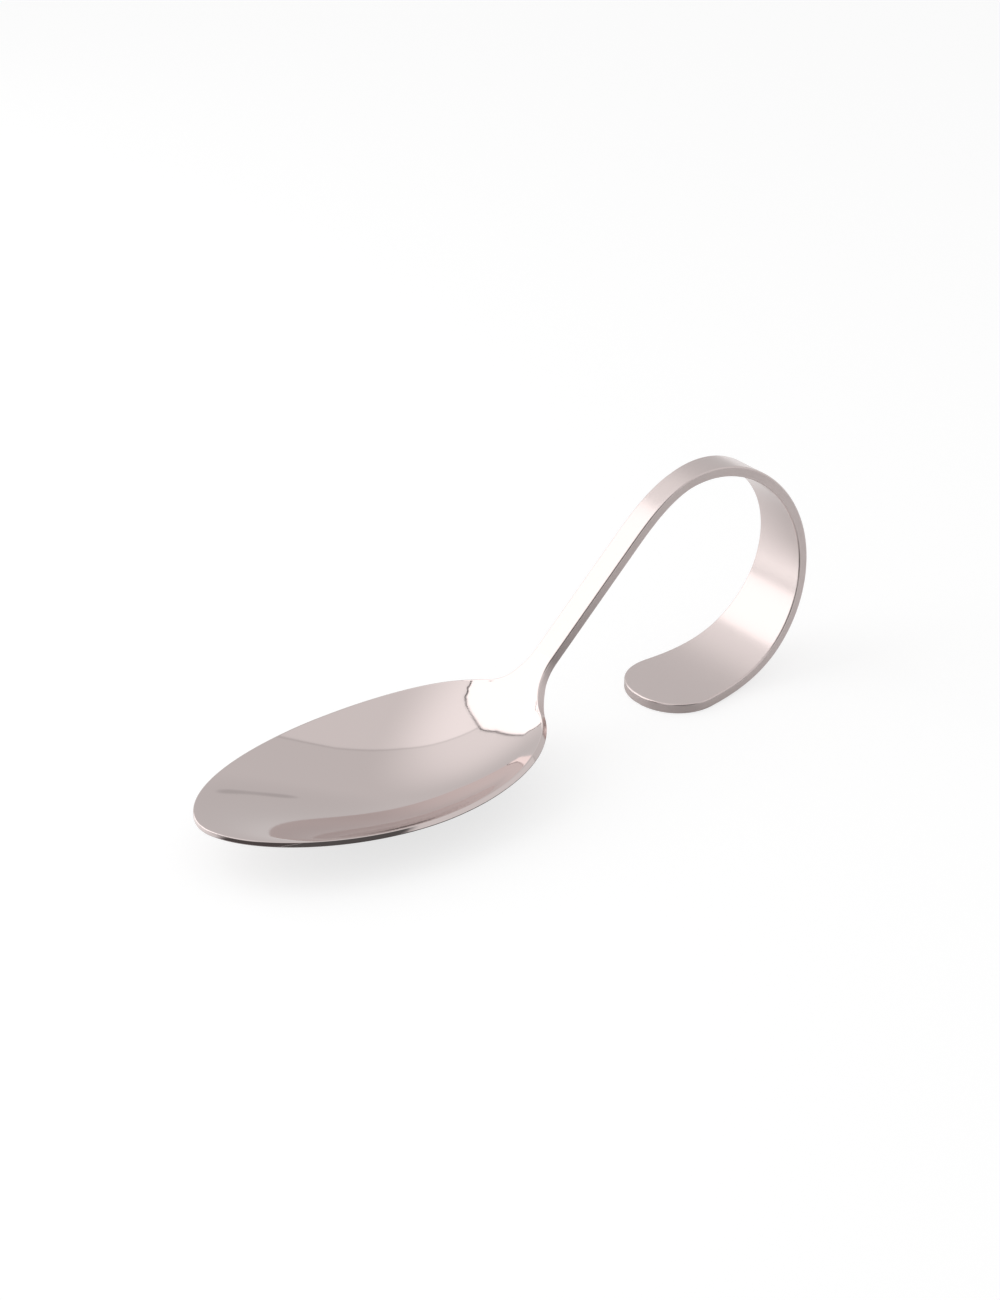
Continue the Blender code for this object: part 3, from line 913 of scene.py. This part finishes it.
def shade(tree, value, mask, inside, place):
    """Multiply a value by the given factor inside a mask."""
    factor = node(tree, "ShaderNodeMath", place, operation="MULTIPLY_ADD")
    factor.inputs[1].default_value = inside - 1.0
    factor.inputs[2].default_value = 1.0
    product = node(tree, "ShaderNodeMath", (place[0] + 200, place[1]), operation="MULTIPLY")
    tree.links.new(mask, factor.inputs[0])
    if isinstance(value, float):
        product.inputs[0].default_value = value
    else:
        tree.links.new(value, product.inputs[0])
    tree.links.new(factor.outputs[0], product.inputs[1])
    return product.outputs[0]


def make_tent(context):
    """A white tent round the spoon: even for matt things, while the steel shows walls with painted light
    and shade.
    """
    stage, tent = context.scene.spoon_stage, context.scene.spoon_tent
    world = bpy.data.worlds.new("Light tent")
    context.scene.world = world
    world.use_nodes = True
    world.cycles.sampling_method = "NONE"
    tree = world.node_tree
    tree.nodes.clear()
    ray = node(tree, "ShaderNodeTexCoord", (-1200, 0)).outputs["Generated"]
    fold = tent.seam_width / 2.0
    # Painted reflection: each zone brightens or darkens the walls that only the steel shows.
    walls = (
        (tent.sweep_axis, tent.sweep_edge, tent.seam_width, tent.sweep_level),
        (tent.sweep_axis, tent.sweep_edge + tent.seam_width, fold, tent.seam_level),
        (tent.sweep_axis, tent.sweep_edge - tent.seam_width, fold, 1.0 / tent.seam_level),
        (tent.front_axis, tent.front_edge, tent.front_fade, tent.front_level),
        (tent.roof_axis, tent.roof_edge, tent.roof_fade, tent.roof_level),
        # Painted shade in the low corner of the backdrop.
        (tent.shaded_corner_axis, tent.shaded_corner_edge, tent.shaded_corner_fade, tent.shaded_corner_level),
        # Painted reflection of a small dark spot.
        (tent.dark_spot_axis, tent.dark_spot_edge, tent.dark_spot_fade, tent.dark_spot_level),
    )
    value = tent.wall_level
    for i, (axis, edge, soft, inside) in enumerate(walls):
        mask = zone(tree, ray, axis, edge, soft, (-900, 200 - 200 * i))
        value = shade(tree, value, mask, inside, (-500, 200 - 200 * i))
    room = node(tree, "ShaderNodeBackground", (100, 200), Color=WHITE, Strength=stage.room_level)
    wall = node(tree, "ShaderNodeBackground", (100, 0), Color=WHITE)
    white = node(tree, "ShaderNodeBackground", (100, -200), Color=WHITE, Strength=1.0)
    tree.links.new(value, wall.inputs["Strength"])
    surface = by_ray(tree, room.outputs[0], wall.outputs[0], white.outputs[0], (350, 100))
    out = node(tree, "ShaderNodeOutputWorld", (750, 50))
    tree.links.new(surface, out.inputs["Surface"])


def make_camera(context):
    """The camera, where the photograph was taken from."""
    stage = context.scene.spoon_stage
    lens = bpy.data.cameras.new("camera")
    lens.sensor_fit = "HORIZONTAL"
    lens.sensor_width = SENSOR_WIDTH
    lens.lens = stage.focal_pixels * lens.sensor_width / PICTURE_WIDTH
    lens.clip_start = CLIP_START
    turn, rise = stage.camera_turn, stage.camera_height
    level = math.cos(rise)
    back = Vector((math.sin(turn) * level, -math.cos(turn) * level, math.sin(rise)))
    camera = bpy.data.objects.new("camera", lens)
    camera.location = Vector(stage.camera_target) + back * stage.camera_distance
    camera.rotation_euler = back.to_track_quat("Z", "Y").to_euler()
    context.scene.collection.objects.link(camera)
    context.scene.camera = camera


class SPOON_PT_panel(bpy.types.Panel):
    """Lists the pieces of the spoon"""

    bl_label = "Amuse-bouche spoon"
    bl_space_type = "VIEW_3D"
    bl_region_type = "UI"
    bl_category = "Spoon"

    def draw(self, context):
        for operator in (SPOON_OT_bowl, SPOON_OT_neck, SPOON_OT_handle, SPOON_OT_stage):
            self.layout.operator(operator.bl_idname)


CLASSES = (SpoonShape, SpoonFinish, SpoonStage, SpoonTent, SPOON_OT_bowl, SPOON_OT_neck, SPOON_OT_handle,
           SPOON_OT_stage, SPOON_PT_panel)


def register():
    """Make the operators, the panel and the values known to Blender."""
    for cls in CLASSES:
        bpy.utils.register_class(cls)
    bpy.types.Scene.spoon_shape = PointerProperty(type=SpoonShape)
    bpy.types.Scene.spoon_finish = PointerProperty(type=SpoonFinish)
    bpy.types.Scene.spoon_stage = PointerProperty(type=SpoonStage)
    bpy.types.Scene.spoon_tent = PointerProperty(type=SpoonTent)


def unregister():
    """Take them away again."""
    del bpy.types.Scene.spoon_tent
    del bpy.types.Scene.spoon_stage
    del bpy.types.Scene.spoon_finish
    del bpy.types.Scene.spoon_shape
    for cls in reversed(CLASSES):
        bpy.utils.unregister_class(cls)


def main():
    """Build the spoon and the studio."""
    register()
    bpy.ops.spoon.bowl()
    bpy.ops.spoon.neck()
    bpy.ops.spoon.handle()
    bpy.ops.spoon.stage()


if __name__ == "__main__":
    main()
